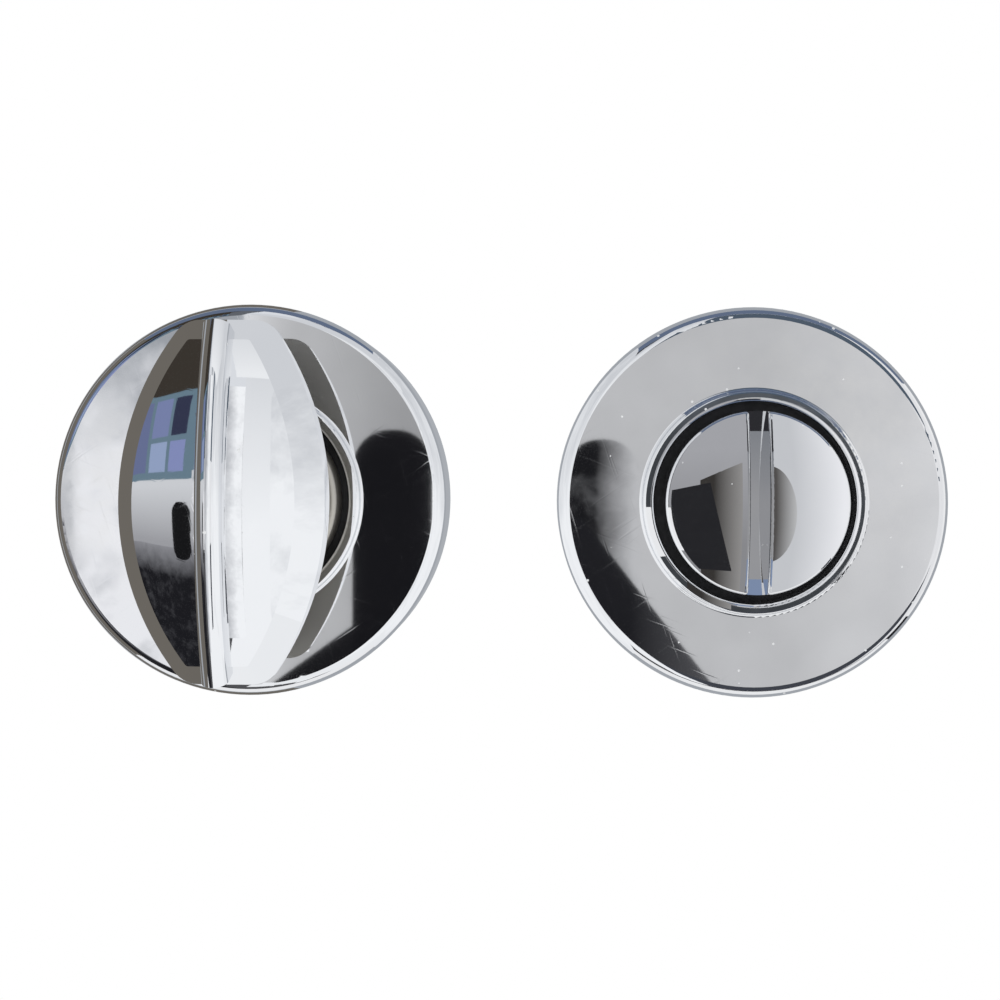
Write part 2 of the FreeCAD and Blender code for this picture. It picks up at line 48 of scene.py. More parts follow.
def mapRange(tree, x, y, source, low, high, toLow, toHigh):
    node = addNode(tree, "ShaderNodeMapRange", x, y)
    node.inputs["From Min"].default_value = low
    node.inputs["From Max"].default_value = high
    node.inputs["To Min"].default_value = toLow
    node.inputs["To Max"].default_value = toHigh
    tree.links.new(source, node.inputs["Value"])
    return node.outputs["Result"]


def mathNode(tree, x, y, operation, first, second):
    node = addNode(tree, "ShaderNodeMath", x, y, operation=operation)
    for index, value in enumerate((first, second)):
        if isinstance(value, (int, float)):
            node.inputs[index].default_value = value
        else:
            tree.links.new(value, node.inputs[index])
    return node.outputs[0]


# fine hair scratches: stretched noise in three directions, as a mask and a height
scratchSet = {"turns": (0.35, -0.6, 1.25), "stretch": (28.0, 1.0, 1.0), "detail": 1.0, "edge": (0.68, 0.78)}


def makeScratchGroup(look):
    group, start, end = newGroup(
        "hairScratches",
        [("Vector", "NodeSocketVector"), ("Scale", "NodeSocketFloat"), ("Amount", "NodeSocketFloat")],
        [("Mask", "NodeSocketFloat"), ("Height", "NodeSocketFloat")],
    )
    masks = []
    for index, turn in enumerate(look["turns"]):
        row = 200 - 250 * index
        place = addNode(group, "ShaderNodeMapping", -700, row, vector_type="TEXTURE")
        place.inputs["Rotation"].default_value = (0.0, turn, 0.0)
        place.inputs["Scale"].default_value = look["stretch"]
        group.links.new(start.outputs["Vector"], place.inputs["Vector"])
        noise = addNode(group, "ShaderNodeTexNoise", -500, row)
        noise.inputs["Detail"].default_value = look["detail"]
        group.links.new(place.outputs["Vector"], noise.inputs["Vector"])
        group.links.new(start.outputs["Scale"], noise.inputs["Scale"])
        masks.append(mapRange(group, -300, row, noise.outputs["Fac"], *look["edge"], 0.0, 1.0))
    both = mathNode(group, 0, 100, "MAXIMUM", masks[0], masks[1])
    allThree = mathNode(group, 150, 50, "MAXIMUM", both, masks[2])
    scaled = mathNode(group, 350, 50, "MULTIPLY", allThree, start.outputs["Amount"])
    group.links.new(scaled, end.inputs["Mask"])
    group.links.new(mathNode(group, 550, -50, "MULTIPLY", scaled, -1.0), end.inputs["Height"])
    return group


# dust: small round specks scattered over the surface
dustSet = {"largest": 0.16}


def makeDustGroup(look):
    group, start, end = newGroup(
        "dustSpecks",
        [("Vector", "NodeSocketVector"), ("Scale", "NodeSocketFloat"), ("Share", "NodeSocketFloat")],
        [("Mask", "NodeSocketFloat")],
    )
    cells = addNode(group, "ShaderNodeTexVoronoi", -600, 100)
    group.links.new(start.outputs["Vector"], cells.inputs["Vector"])
    group.links.new(start.outputs["Scale"], cells.inputs["Scale"])
    split = addNode(group, "ShaderNodeSeparateColor", -400, -80)
    group.links.new(cells.outputs["Color"], split.inputs["Color"])
    size = mathNode(group, -200, -80, "MULTIPLY", split.outputs["Green"], look["largest"])
    inside = mathNode(group, 0, 100, "LESS_THAN", cells.outputs["Distance"], size)
    kept = mathNode(group, 0, -150, "LESS_THAN", split.outputs["Red"], start.outputs["Share"])
    group.links.new(mathNode(group, 250, 0, "MULTIPLY", inside, kept), end.inputs["Mask"])
    return group


# haze: a cloudy film that lies over one zone
hazeSet = {"detail": 5.0, "roughness": 0.65, "edge": (0.38, 0.72)}


def makeHazeGroup(look):
    group, start, end = newGroup(
        "cloudyHaze",
        [("Vector", "NodeSocketVector"), ("Scale", "NodeSocketFloat"), ("Amount", "NodeSocketFloat")],
        [("Mask", "NodeSocketFloat")],
    )
    cloud = addNode(group, "ShaderNodeTexNoise", -600, 150)
    cloud.inputs["Detail"].default_value = look["detail"]
    cloud.inputs["Roughness"].default_value = look["roughness"]
    group.links.new(start.outputs["Vector"], cloud.inputs["Vector"])
    group.links.new(start.outputs["Scale"], cloud.inputs["Scale"])
    soft = mapRange(group, -350, 150, cloud.outputs["Fac"], *look["edge"], 0.0, 1.0)
    group.links.new(mathNode(group, 0, 50, "MULTIPLY", soft, start.outputs["Amount"]), end.inputs["Mask"])
    return group


scratchGroup = makeScratchGroup(scratchSet)
dustGroup = makeDustGroup(dustSet)
hazeGroup = makeHazeGroup(hazeSet)
print("shared surface effects made")

# hazeAt is x and z in millimetres; from the band's start in y on, towards the door, the knob is rougher and
# painted brownish grey, a painted reflection of brown surroundings
chromeLooks = {
    "turnCoverChrome": {
        "scratch": 0.30, "dust": 0.14, "haze": 0.9, "hazeAt": (-17.0, 3.0), "hazeReach": 17.0, "seed": 0.0,
    },
    "knobChrome": {
        "scratch": 0.30, "dust": 0.10, "haze": 0.12, "hazeAt": (0.0, 0.0), "hazeReach": 40.0, "seed": 3.1,
        "satinFrom": -19.35,
    },
    "releaseCoverChrome": {
        "scratch": 0.28, "dust": 0.18, "haze": 0.45, "hazeAt": (80.0, 10.0), "hazeReach": 30.0, "seed": 7.7,
    },
    "buttonChrome": {
        "scratch": 0.40, "dust": 0.14, "haze": 0.15, "hazeAt": (66.8, 0.0), "hazeReach": 30.0, "seed": 5.3,
    },
}
chromeSet = {
    "scratchScale": 2600.0, "dustScale": 650.0, "hazeScale": 230.0, "hazePlane": -9.0, "seedSlope": 0.7,
    "baseRough": 0.025, "scratchRough": 0.10, "hazeRough": 0.16, "dustRough": 0.45, "dustMetal": 0.15,
    "clean": (0.80, 0.81, 0.83, 1.0), "pale": (0.93, 0.93, 0.92, 1.0),
    # band towards the door: its roughness, its blend width and its brownish grey, which is painted
    # reflection
    "satinRough": 0.45, "satinBlend": 0.1, "satinColour": (0.47, 0.45, 0.41, 1.0),
    "bumpStrength": 0.06, "bumpDistance": 0.00002,
}


def makeChrome(name, look):
    mat, tree = newTree(name)
    links = tree.links
    end = addNode(tree, "ShaderNodeOutputMaterial", 900, 0)
    metal = addNode(tree, "ShaderNodeBsdfPrincipled", 600, 0)
    links.new(metal.outputs["BSDF"], end.inputs["Surface"])
    where = addNode(tree, "ShaderNodeTexCoord", -1100, 0)
    shift = addNode(tree, "ShaderNodeMapping", -900, 0)
    shift.inputs["Location"].default_value = (look["seed"], look["seed"] * chromeSet["seedSlope"], 0.0)
    links.new(where.outputs["Object"], shift.inputs["Vector"])
    scratch = addNode(tree, "ShaderNodeGroup", -600, 300, node_tree=scratchGroup)
    scratch.inputs["Scale"].default_value = chromeSet["scratchScale"]
    scratch.inputs["Amount"].default_value = look["scratch"]
    dust = addNode(tree, "ShaderNodeGroup", -600, 50, node_tree=dustGroup)
    dust.inputs["Scale"].default_value = chromeSet["dustScale"]
    dust.inputs["Share"].default_value = look["dust"]
    haze = addNode(tree, "ShaderNodeGroup", -600, -200, node_tree=hazeGroup)
    haze.inputs["Scale"].default_value = chromeSet["hazeScale"]
    haze.inputs["Amount"].default_value = look["haze"]
    for node in (scratch, dust, haze):
        links.new(shift.outputs["Vector"], node.inputs["Vector"])
    # the haze fades out from its own centre
    zone = addNode(tree, "ShaderNodeVectorMath", -900, -400, operation="DISTANCE")
    hazeX, hazeZ = look["hazeAt"]
    zone.inputs[1].default_value = (hazeX * mm, chromeSet["hazePlane"] * mm, hazeZ * mm)
    links.new(where.outputs["Object"], zone.inputs[0])
    fade = mapRange(tree, -600, -450, zone.outputs["Value"], 0.0, look["hazeReach"] * mm, 1.0, 0.0)
    film = mathNode(tree, -300, -300, "MULTIPLY", haze.outputs["Mask"], fade)
    worn = mathNode(tree, -100, -100, "MULTIPLY", scratch.outputs["Mask"], chromeSet["scratchRough"])
    veil = mathNode(tree, -100, -300, "MULTIPLY", film, chromeSet["hazeRough"])
    grit = mathNode(tree, -100, 50, "MULTIPLY", dust.outputs["Mask"], chromeSet["dustRough"])
    rough = mathNode(tree, 100, -100, "ADD", worn, veil)
    rough = mathNode(tree, 250, -100, "ADD", rough, grit)
    rough = mathNode(tree, 400, -100, "ADD", rough, chromeSet["baseRough"])
    tint = addNode(tree, "ShaderNodeMix", 250, 200, data_type="RGBA")
    tint.inputs["A"].default_value = chromeSet["clean"]
    tint.inputs["B"].default_value = chromeSet["pale"]
    pale = mathNode(tree, 50, 250, "MAXIMUM", dust.outputs["Mask"], film)
    links.new(pale, tint.inputs["Factor"])
    colour = tint.outputs["Result"]
    # towards the door the knob gets rougher, and a painted brownish-grey reflection is mixed into its
    # colour
    if "satinFrom" in look:
        split = addNode(tree, "ShaderNodeSeparateXYZ", -900, -700)
        links.new(where.outputs["Object"], split.inputs["Vector"])
        edge = look["satinFrom"] * mm
        blend = edge + chromeSet["satinBlend"] * mm
        satin = mapRange(tree, -600, -700, split.outputs["Y"], edge, blend, 0.0, 1.0)
        bandRoughness = mathNode(tree, 300, -500, "MULTIPLY", satin, chromeSet["satinRough"])
        rough = mathNode(tree, 500, -200, "MAXIMUM", rough, bandRoughness)
        brownReflectionMix = addNode(tree, "ShaderNodeMix", 420, 250, data_type="RGBA")
        brownReflectionMix.inputs["B"].default_value = chromeSet["satinColour"]
        links.new(satin, brownReflectionMix.inputs["Factor"])
        links.new(colour, brownReflectionMix.inputs["A"])
        colour = brownReflectionMix.outputs["Result"]
    links.new(rough, metal.inputs["Roughness"])
    links.new(colour, metal.inputs["Base Color"])
    bright = mapRange(tree, 250, 50, dust.outputs["Mask"], 0.0, 1.0, 1.0, chromeSet["dustMetal"])
    links.new(bright, metal.inputs["Metallic"])
    bump = addNode(tree, "ShaderNodeBump", 400, -300)
    bump.inputs["Strength"].default_value = chromeSet["bumpStrength"]
    bump.inputs["Distance"].default_value = chromeSet["bumpDistance"]
    links.new(scratch.outputs["Height"], bump.inputs["Height"])
    links.new(bump.outputs["Normal"], metal.inputs["Normal"])
    return mat


# drawn, where it is under 1, stretches the grain along y
plainLooks = {
    "plateNylon": {
        "low": (0.018, 0.018, 0.02), "high": (0.04, 0.04, 0.045), "rough": (0.5, 0.68), "metal": 0.0,
        "scale": 900.0,
    },
    "bushAcetal": {
        "low": (0.66, 0.65, 0.60), "high": (0.78, 0.77, 0.72), "rough": (0.4, 0.55), "metal": 0.0,
        "scale": 500.0,
    },
    "spindleSteel": {
        "low": (0.46, 0.46, 0.48), "high": (0.62, 0.62, 0.63), "rough": (0.26, 0.42), "metal": 1.0,
        "scale": 700.0, "drawn": 0.12,
    },
    "springSteel": {
        "low": (0.20, 0.20, 0.21), "high": (0.34, 0.34, 0.36), "rough": (0.32, 0.5), "metal": 1.0,
        "scale": 800.0,
    },
    "washerBrass": {
        "low": (0.62, 0.47, 0.20), "high": (0.78, 0.62, 0.30), "rough": (0.28, 0.42), "metal": 1.0,
        "scale": 650.0,
    },
}
plainSet = {
    "detail": 4.0, "toneEdge": (0.35, 0.65), "roughEdge": (0.3, 0.7),
    "bumpStrength": 0.15, "bumpDistance": 0.00003,
}


def makePlain(name, look):
    mat, tree = newTree(name)
    links = tree.links
    end = addNode(tree, "ShaderNodeOutputMaterial", 700, 0)
    shade = addNode(tree, "ShaderNodeBsdfPrincipled", 400, 0)
    shade.inputs["Metallic"].default_value = look["metal"]
    links.new(shade.outputs["BSDF"], end.inputs["Surface"])
    where = addNode(tree, "ShaderNodeTexCoord", -800, 0)
    stretch = addNode(tree, "ShaderNodeMapping", -600, 0)
    stretch.inputs["Scale"].default_value = (1.0, look.get("drawn", 1.0), 1.0)
    links.new(where.outputs["Object"], stretch.inputs["Vector"])
    grain = addNode(tree, "ShaderNodeTexNoise", -400, 0)
    grain.inputs["Scale"].default_value = look["scale"]
    grain.inputs["Detail"].default_value = plainSet["detail"]
    links.new(stretch.outputs["Vector"], grain.inputs["Vector"])
    tint = addNode(tree, "ShaderNodeMix", 0, 150, data_type="RGBA")
    tint.inputs["A"].default_value = (*look["low"], 1.0)
    tint.inputs["B"].default_value = (*look["high"], 1.0)
    tone = mapRange(tree, -200, 150, grain.outputs["Fac"], *plainSet["toneEdge"], 0.0, 1.0)
    links.new(tone, tint.inputs["Factor"])
    links.new(tint.outputs["Result"], shade.inputs["Base Color"])
    rough = mapRange(tree, -200, -100, grain.outputs["Fac"], *plainSet["roughEdge"], *look["rough"])
    links.new(rough, shade.inputs["Roughness"])
    bump = addNode(tree, "ShaderNodeBump", 100, -250)
    bump.inputs["Strength"].default_value = plainSet["bumpStrength"]
    bump.inputs["Distance"].default_value = plainSet["bumpDistance"]
    links.new(grain.outputs["Fac"], bump.inputs["Height"])
    links.new(bump.outputs["Normal"], shade.inputs["Normal"])
    return mat


materials = {name: makeChrome(name, look) for name, look in chromeLooks.items()}
materials.update({name: makePlain(name, look) for name, look in plainLooks.items()})
print("materials made:", len(materials))

nodeFinish = {
    "turn_rose_cover": "turnCoverChrome",
    "turn_knob": "knobChrome",
    "release_rose_cover": "releaseCoverChrome",
    "release_button": "buttonChrome",
    "turn_base_plate": "plateNylon",
    "release_base_plate": "plateNylon",
    "turn_bearing_bush": "bushAcetal",
    "release_bearing_bush": "bushAcetal",
    "turn_spindle": "spindleSteel",
    "turn_spindle_pin": "springSteel",
    "turn_disc_spring": "springSteel",
    "turn_thrust_washer": "washerBrass",
    "turn_circlip": "springSteel",
    "release_disc_spring": "springSteel",
    "release_thrust_washer": "washerBrass",
    "release_circlip": "springSteel",
}
for nodeName, finish in nodeFinish.items():
    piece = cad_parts[nodeName]
    for spot in piece.material_slots:
        spot.material = materials[finish]
print("finishes set on the carried-over nodes")

# the camera stands as it did for the photograph: square to the roses, a little right of their middle
cameraSet = {
    "foot": (39.1, 4.0), "distance": 163.0, "faceY": -9.0,
    "frameWidth": 132.0, "centre": (33.2, 0.2), "roll": -0.3, "sensor": 36.0, "clipStart": 0.001,
}


def makeCamera(look):
    data = bpy.data.cameras.new("photoView")
    camera = bpy.data.objects.new("photoView", data)
    bpy.context.scene.collection.objects.link(camera)
    footX, footZ = look["foot"]
    data.sensor_width = look["sensor"]
    data.lens = look["sensor"] * look["distance"] / look["frameWidth"]
    data.shift_x = (look["centre"][0] - footX) / look["frameWidth"]
    data.shift_y = (look["centre"][1] - footZ) / look["frameWidth"]
    data.clip_start = look["clipStart"]
    camera.location = (footX * mm, (look["faceY"] - look["distance"]) * mm, footZ * mm)
    camera.rotation_euler = (math.radians(90), math.radians(look["roll"]), 0)
    bpy.context.scene.camera = camera


makeCamera(cameraSet)

# studio cards for the mirror finish, seen only in reflections: x, y and z give their reach in millimetres;
# to is an axis, a start, an end and the colour faded to; mottle is the blotches' amount and scale;
# cuts keep what lies left of each line; ring is the hole's share of the disc
fillPale = (1.06, 1.07, 1.08)
fillGrey = (0.72, 0.735, 0.76)
deskTone = (0.17, 0.155, 0.135)
slotX = (65.3, 68.35)
slotY = -15.4
domeX = (52.65, 82.95)
domeZ = (-15.28, 15.02)
cards = {
    "farDarkLeft": {
        "x": (-140, -66), "y": -1000, "z": (-240, 42), "colour": (0.010, 0.010, 0.012), "round": 34,
    },
    "farDarkFoot": {
        "x": (-236, -66), "y": -1002, "z": (-241, -110), "colour": (0.012, 0.012, 0.014),
        "cuts": (((-146, -146), (-226, -204)),),
    },
    "farDarkRight": {
        "x": (58, 128), "y": -1000, "z": (-240, 34), "colour": (0.012, 0.012, 0.014), "round": 32,
        "to": ("x", 86, 124, (0.60, 0.60, 0.61)), "mottle": (0.30, 30.0),
    },
    "farDarkLow": {
        "x": (58, 260), "y": -998, "z": (-240, -40), "colour": (0.016, 0.016, 0.019),
        "cuts": (((206, -206), (92, -62)),), "to": ("x", 120, 260, (0.16, 0.16, 0.17)),
    },
    "fillFar": {
        "x": (-64, 50), "y": -990, "z": (-1100, 1100), "colour": fillPale,
        "to": ("z", -148, 970, fillGrey),
    },
    "fillMiddle": {
        "x": (-2, 42), "y": -300, "z": (-330, 330), "colour": fillPale,
        "to": ("z", -39, 280, fillGrey),
    },
    "fillNear": {
        "x": (16, 41), "y": -100, "z": (-95, 95), "colour": fillPale,
        "to": ("z", -7, 80, fillGrey), "mottle": (0.9, 32.0),
    },
    "fillRib": {
        "x": (-1, 3), "y": -36, "z": (-24, 19.5), "colour": (0.40, 0.41, 0.44),
        "to": ("x", -0.9, 2.0, (1.08, 1.09, 1.10)), "mottle": (0.6, 150.0),
    },
    "fillBand": {
        "x": 34, "y": (-70, -3), "z": (-50, 50), "colour": fillPale,
        "to": ("z", 1, 31, fillGrey), "mottle": (0.9, 42.0),
    },
    "fillUpper": {"x": (-260, -64), "y": -1000, "z": (300, 1190), "colour": (0.84, 0.86, 0.89)},
    "fillLower": {"x": (-260, -64), "y": -1000, "z": (-1190, -242), "colour": (0.10, 0.10, 0.105)},
    "fillEndTop": {
        "x": (-1, 33.8), "y": (-50, -23), "z": 30, "colour": fillGrey,
        "to": ("y", -23, -48, (1.0, 1.01, 1.02)),
    },
    "fillTipTop": {"x": (-1, 24), "y": (-23, -12), "z": 26.0, "colour": (0.74, 0.755, 0.78)},
    "fillTipLow": {"x": (-1, 24), "y": (-23, -12), "z": -26.5, "colour": (1.0, 1.01, 1.02)},
    "fillEndLow": {"x": (-1, 33.8), "y": (-50, -23), "z": -30, "colour": fillPale},
    # these cards lie right on the slot, the bead and the dome, so each paints its patch straight into their
    # reflection: painted reflections of dark, grey, blue and pale surroundings, painted shade in domeShade
    # and a painted highlight in domeShine
    "slotDark": {"x": slotX, "y": slotY, "z": (7.4, 13), "colour": (0.030, 0.030, 0.034)},
    "slotGrey": {
        "x": slotX, "y": slotY, "z": (-8.2, 7.4), "colour": (0.36, 0.36, 0.37),
        "to": ("z", 0, 7, (0.26, 0.27, 0.29)),
    },
    "slotBlue": {"x": slotX, "y": slotY, "z": (-13, -8.2), "colour": (0.24, 0.31, 0.46)},
    "beadDark": {
        "x": (52.55, 83.05), "y": -15.39, "z": (-15.38, 15.12), "colour": (0.055, 0.06, 0.066),
        "ring": 0.938, "to": ("z", 4, 14, (0.11, 0.12, 0.135)), "mottle": (0.9, 130.0),
    },
    "domeGrey": {
        "x": domeX, "y": -15.42, "z": domeZ, "colour": (0.30, 0.30, 0.31), "disc": True,
        "cuts": (((65.3, -20), (65.3, 20)),), "to": ("z", -6, 8, (0.44, 0.44, 0.46)),
    },
    "domeShine": {
        "x": domeX, "y": -15.37, "z": domeZ, "colour": (1.0, 1.0, 1.0), "disc": True,
        "cuts": (((57.5, -20), (57.5, 20)), ((60, -0.8), (50, -0.8)), ((50, -8), (60, -7))),
    },
    "domeShade": {
        "x": domeX, "y": -15.38, "z": domeZ, "colour": (0.045, 0.041, 0.038), "disc": True,
        "cuts": (((64.5, -20), (64.5, 20)), ((63.2, 5.2), (57.8, 3.0)), ((58.5, 20), (58.5, -20))),
        "to": ("x", 60.5, 64.6, (0.34, 0.33, 0.32)),
    },
    "domeDark": {
        "x": (53.9, 81.9), "y": -15.36, "z": (-14.1, 13.9), "colour": (0.022, 0.022, 0.025), "disc": True,
        "cuts": (((60.0, 2.9), (53.6, 1.8)), ((63.1, -10.0), (60.0, 2.9)), ((50, -10.4), (70, -10.1))),
    },
    "domePale": {
        "x": domeX, "y": -15.42, "z": domeZ, "colour": (0.66, 0.67, 0.69), "disc": True,
        "cuts": (((68.35, 20), (68.35, -20)),), "to": ("x", 72, 81, (1.0, 1.0, 1.02)),
    },
    # painted reflection: a dark brown patch on the dome just right of the slot, fading to grey towards its
    # right
    "domeBrownReflection": {
        "x": (64.6, 72.2), "y": -15.38, "z": (-8.6, 5.2), "colour": (0.10, 0.094, 0.09), "disc": True,
        "cuts": (((68.4, 20), (68.4, -20)),), "to": ("x", 69.2, 72.2, (0.58, 0.58, 0.58)),
    },
    "leftTop": {"x": (-1700, -412), "y": -1050, "z": (600, 1200), "colour": (0.050, 0.042, 0.034)},
    "leftWindow": {"x": (-1700, -412), "y": -1050, "z": (90, 600), "colour": (0.16, 0.24, 0.30)},
    "paneOne": {"x": (-640, -490), "y": -1045, "z": (330, 560), "colour": (0.040, 0.045, 0.085)},
    "paneTwo": {"x": (-640, -490), "y": -1045, "z": (130, 300), "colour": (0.27, 0.31, 0.56)},
    "paneThree": {"x": (-850, -670), "y": -1045, "z": (330, 560), "colour": (0.22, 0.26, 0.46)},
    "paneFour": {"x": (-850, -670), "y": -1045, "z": (130, 300), "colour": (0.34, 0.42, 0.62)},
    "paneFive": {"x": (-1150, -890), "y": -1045, "z": (130, 560), "colour": (0.16, 0.19, 0.34)},
    "leftWall": {
        "x": (-1700, -412), "y": -1050, "z": (-265, 90), "colour": (0.40, 0.40, 0.42),
        "to": ("z", -240, 60, (0.72, 0.73, 0.75)),
    },
    "leftRound": {
        "x": (-590, -436), "y": -1040, "z": (-320, -20), "colour": (0.010, 0.010, 0.011), "round": 55,
    },
    "leftLow": {
        "x": (-1700, -412), "y": -1050, "z": (-1200, -265), "colour": (0.014, 0.014, 0.017),
        "to": ("z", -430, -265, (0.30, 0.30, 0.32)), "mottle": (0.25, 14.0),
    },
    "leftSheen": {
        "x": (-412, -250), "y": -1030, "z": (-240, 180), "colour": (1.0, 1.0, 1.02),
        "to": ("z", -20, 130, (0.40, 0.42, 0.45)), "mottle": (0.9, 22.0),
    },
    "rimTopLeft": {"x": (-412, -262), "y": -1030, "z": (180, 1190), "colour": (0.14, 0.15, 0.17)},
    "rimLowLeft": {"x": (-412, -262), "y": -1030, "z": (-1190, -240), "colour": (0.10, 0.10, 0.105)},
    "rimTopRight": {"x": (52, 900), "y": -1060, "z": (185, 1190), "colour": (0.09, 0.12, 0.16)},
    "rimLowRight": {"x": (52, 900), "y": -1060, "z": (-1190, -240), "colour": (0.06, 0.065, 0.08)},
    "sideBrown": {"x": -1200, "y": (-1050, 400), "z": (-1200, 1200), "colour": deskTone},
    "deskBrown": {"x": (-90, -33), "y": 1.8, "z": (-95, 95), "colour": deskTone},
    "deskBrownTop": {"x": (-33, 6), "y": 1.8, "z": (31, 95), "colour": deskTone},
    "deskBrownLow": {"x": (-33, 6), "y": 1.8, "z": (-95, -31), "colour": deskTone},
    "deskPale": {"x": (-2500, 2500), "y": 2, "z": (-1200, 1200), "colour": (0.42, 0.44, 0.47)},
    "topBlue": {"x": (-2000, 2000), "y": (-1050, 0), "z": 1200, "colour": (0.14, 0.18, 0.27)},
    "bottomDark": {"x": (-2000, 2000), "y": (-1050, 0), "z": -1200, "colour": (0.020, 0.020, 0.024)},
}
cardSet = {"circleSegments": 128, "roundSegments": 8, "thinnest": 1e-6}


def hideFromView(piece):
    piece.visible_camera = False
    piece.visible_shadow = False
    piece.visible_diffuse = False


def flatCard(name, look):
    bm = bmesh.new()
    if look.get("disc"):
        bmesh.ops.create_circle(bm, cap_ends=True, segments=cardSet["circleSegments"], radius=0.5)
    elif look.get("ring"):
        bmesh.ops.create_circle(bm, cap_ends=False, segments=cardSet["circleSegments"], radius=0.5)
        grown = bmesh.ops.extrude_edge_only(bm, edges=bm.edges[:])["geom"]
        inner = [item for item in grown if isinstance(item, bmesh.types.BMVert)]
        bmesh.ops.scale(bm, vec=(look["ring"], look["ring"], 1.0), verts=inner)
    else:
        bmesh.ops.create_grid(bm, x_segments=1, y_segments=1, size=0.5)
    spans = [look[axis] if isinstance(look[axis], tuple) else (look[axis], look[axis]) for axis in "xyz"]
    sizes = [high - low for low, high in spans]
    if look.get("round"):
        bmesh.ops.scale(bm, vec=(sizes[0], sizes[2], 1.0), verts=bm.verts)
        bmesh.ops.bevel(
            bm, geom=bm.verts[:], offset=look["round"], offset_type="OFFSET",
            segments=cardSet["roundSegments"], profile=0.5, affect="VERTICES", material=-1,
        )
        bmesh.ops.scale(bm, vec=(1.0 / sizes[0], 1.0 / sizes[2], 1.0), verts=bm.verts)
    if sizes[1] == 0:
        bmesh.ops.rotate(bm, verts=bm.verts, matrix=Matrix.Rotation(math.radians(90), 3, "X"))
    elif sizes[0] == 0:
        bmesh.ops.rotate(bm, verts=bm.verts, matrix=Matrix.Rotation(math.radians(90), 3, "Y"))
    bmesh.ops.scale(bm, vec=[max(size, cardSet["thinnest"]) for size in sizes], verts=bm.verts)
    bmesh.ops.translate(bm, verts=bm.verts, vec=[(low + high) / 2 for low, high in spans])
    for start, end in look.get("cuts", ()):
        bmesh.ops.bisect_plane(
            bm, geom=bm.verts[:] + bm.edges[:] + bm.faces[:], clear_outer=True,
            plane_co=(start[0], 0.0, start[1]), plane_no=(end[1] - start[1], 0.0, start[0] - end[0]),
        )
    bmesh.ops.scale(bm, vec=(mm, mm, mm), verts=bm.verts)
    mesh = bpy.data.meshes.new(name)
    bm.to_mesh(mesh)
    bm.free()
    card = bpy.data.objects.new(name, mesh)
    bpy.context.scene.collection.objects.link(card)
    return card


def glowing(name, colour):
    mat, tree = newTree(name)
    end = addNode(tree, "ShaderNodeOutputMaterial", 300, 0)
    glow = addNode(tree, "ShaderNodeEmission", 0, 0)
    glow.inputs["Color"].default_value = (*colour, 1.0)
    tree.links.new(glow.outputs["Emission"], end.inputs["Surface"])
    return mat, tree, glow


# a soft run from the card's own colour to a second one, blotched where the look asks for it
blotchSet = {"detail": 6.0, "roughness": 0.7, "edge": (0.35, 0.7), "low": -0.4, "high": 0.6}


def fadeGlow(tree, glow, look):
    axis, start, end, colour = look["to"]
    where = addNode(tree, "ShaderNodeTexCoord", -1000, 0)
    split = addNode(tree, "ShaderNodeSeparateXYZ", -800, 0)
    tree.links.new(where.outputs["Object"], split.inputs["Vector"])
    run = mapRange(tree, -600, 0, split.outputs[axis.upper()], start * mm, end * mm, 0.0, 1.0)
    if "mottle" in look:
        blotch = addNode(tree, "ShaderNodeTexNoise", -800, -250)
        reach, scale = look["mottle"]
        blotch.inputs["Scale"].default_value = scale
        blotch.inputs["Detail"].default_value = blotchSet["detail"]
        blotch.inputs["Roughness"].default_value = blotchSet["roughness"]
        tree.links.new(where.outputs["Object"], blotch.inputs["Vector"])
        low, high = blotchSet["low"] * reach, blotchSet["high"] * reach
        spots = mapRange(tree, -600, -250, blotch.outputs["Fac"], *blotchSet["edge"], low, high)
        run = mathNode(tree, -400, -100, "ADD", run, spots)
    mixer = addNode(tree, "ShaderNodeMix", -200, 0, data_type="RGBA")
    mixer.inputs["A"].default_value = (*look["colour"], 1.0)
    mixer.inputs["B"].default_value = (*colour, 1.0)
    tree.links.new(run, mixer.inputs["Factor"])
    tree.links.new(mixer.outputs["Result"], glow.inputs["Color"])


for name, look in cards.items():
    card = flatCard(name, look)
    mat, tree, glow = glowing(name, look["colour"])
    if "to" in look:
        fadeGlow(tree, glow, look)
    card.data.materials.append(mat)
    hideFromView(card)

# the wall behind the camera runs from white at the left over grey to pale grey at the right
wallSet = {
    "x": (-2500, 2500), "y": -1100, "z": (-1200, 1200), "reach": 600,
    "tones": (
        (0.0, 1.0), (0.24, 1.0), (0.33, 0.55), (0.42, 0.40), (0.50, 0.50), (0.58, 0.60), (0.72, 0.61),
        (0.82, 0.70), (0.88, 0.78), (1.0, 0.92),
    ),
    "blue": 1.01,
    "blotchScale": 16.0, "blotchDetail": 5.0, "blotchEdge": (0.3, 0.7), "blotchReach": (0.95, 1.05),
}


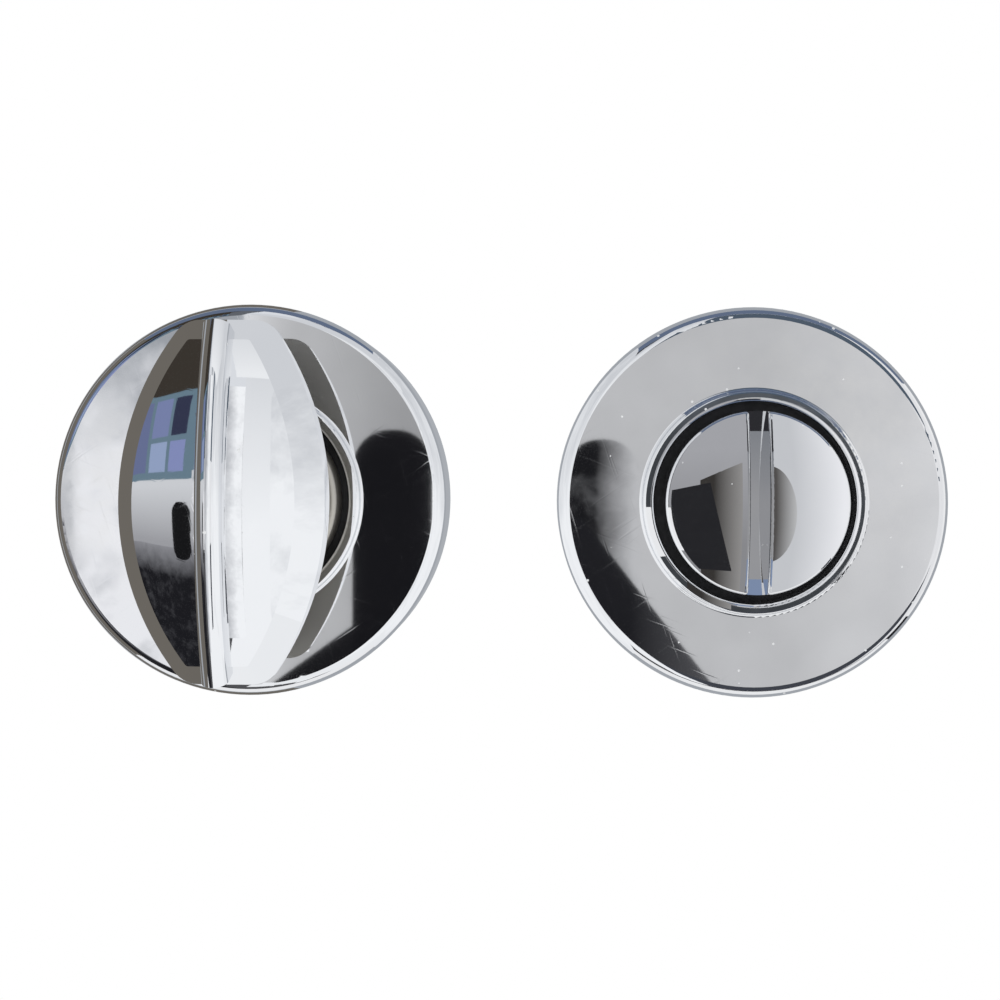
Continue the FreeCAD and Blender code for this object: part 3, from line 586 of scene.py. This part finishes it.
def makeWall(look):
    wall = flatCard("studioWall", look)
    mat, tree, glow = glowing("studioWall", (1.0, 1.0, 1.0))
    where = addNode(tree, "ShaderNodeTexCoord", -900, 0)
    split = addNode(tree, "ShaderNodeSeparateXYZ", -700, 0)
    tree.links.new(where.outputs["Object"], split.inputs["Vector"])
    reach = look["reach"] * mm
    run = mapRange(tree, -500, 0, split.outputs["X"], -reach, reach, 0.0, 1.0)
    ramp = addNode(tree, "ShaderNodeValToRGB", -300, 0)
    ramp.color_ramp.interpolation = "EASE"
    stops = ramp.color_ramp.elements
    while len(stops) < len(look["tones"]):
        stops.new(0.5)
    for stop, (place, tone) in zip(stops, look["tones"]):
        stop.position = place
        stop.color = (tone, tone, tone * look["blue"], 1.0)
    tree.links.new(run, ramp.inputs["Fac"])
    tree.links.new(ramp.outputs["Color"], glow.inputs["Color"])
    blotch = addNode(tree, "ShaderNodeTexNoise", -500, -300)
    blotch.inputs["Scale"].default_value = look["blotchScale"]
    blotch.inputs["Detail"].default_value = look["blotchDetail"]
    tree.links.new(where.outputs["Object"], blotch.inputs["Vector"])
    cloudy = mapRange(tree, -300, -300, blotch.outputs["Fac"], *look["blotchEdge"], *look["blotchReach"])
    tree.links.new(cloudy, glow.inputs["Strength"])
    wall.data.materials.append(mat)
    hideFromView(wall)


makeWall(wallSet)


# white to the camera and in reflections, soft light to everything else
def seenWhite(tree, x, y):
    path = addNode(tree, "ShaderNodeLightPath", x - 400, y)
    rays = path.outputs
    seen = mathNode(tree, x - 200, y, "MAXIMUM", rays["Is Camera Ray"], rays["Is Glossy Ray"])
    return mathNode(tree, x, y, "MAXIMUM", seen, rays["Is Transmission Ray"])


worldSet = {"white": (1.0, 1.0, 1.0, 1.0), "soft": (0.95, 0.97, 1.0, 1.0), "softStrength": 0.8}


def makeWorld(look):
    world = bpy.data.worlds.new("paleStudio")
    bpy.context.scene.world = world
    world.use_nodes = True
    tree = world.node_tree
    tree.nodes.clear()
    end = addNode(tree, "ShaderNodeOutputWorld", 600, 0)
    white = addNode(tree, "ShaderNodeBackground", 0, 100)
    white.inputs["Color"].default_value = look["white"]
    white.inputs["Strength"].default_value = 1.0
    soft = addNode(tree, "ShaderNodeBackground", 0, -100)
    soft.inputs["Color"].default_value = look["soft"]
    soft.inputs["Strength"].default_value = look["softStrength"]
    mixer = addNode(tree, "ShaderNodeMixShader", 300, 0)
    tree.links.new(seenWhite(tree, -100, 300), mixer.inputs["Fac"])
    tree.links.new(soft.outputs["Background"], mixer.inputs[1])
    tree.links.new(white.outputs["Background"], mixer.inputs[2])
    tree.links.new(mixer.outputs["Shader"], end.inputs["Surface"])


floorSet = {"x": (-1500, 1500), "y": (-900, 1500), "z": -1190, "tone": (0.86, 0.86, 0.85)}


def makeFloor(look):
    floor = flatCard("paleFloor", look)
    mat, tree = newTree("paleFloor")
    end = addNode(tree, "ShaderNodeOutputMaterial", 600, 0)
    matte = addNode(tree, "ShaderNodeBsdfDiffuse", 0, -100)
    matte.inputs["Color"].default_value = (*look["tone"], 1.0)
    white = addNode(tree, "ShaderNodeEmission", 0, 100)
    white.inputs["Strength"].default_value = 1.0
    mixer = addNode(tree, "ShaderNodeMixShader", 300, 0)
    tree.links.new(seenWhite(tree, -100, 300), mixer.inputs["Fac"])
    tree.links.new(matte.outputs["BSDF"], mixer.inputs[1])
    tree.links.new(white.outputs["Emission"], mixer.inputs[2])
    tree.links.new(mixer.outputs["Shader"], end.inputs["Surface"])
    floor.data.materials.append(mat)


makeWorld(worldSet)
makeFloor(floorSet)
bpy.context.scene.view_settings.view_transform = "Standard"
print("camera, cards, wall, floor and world placed")
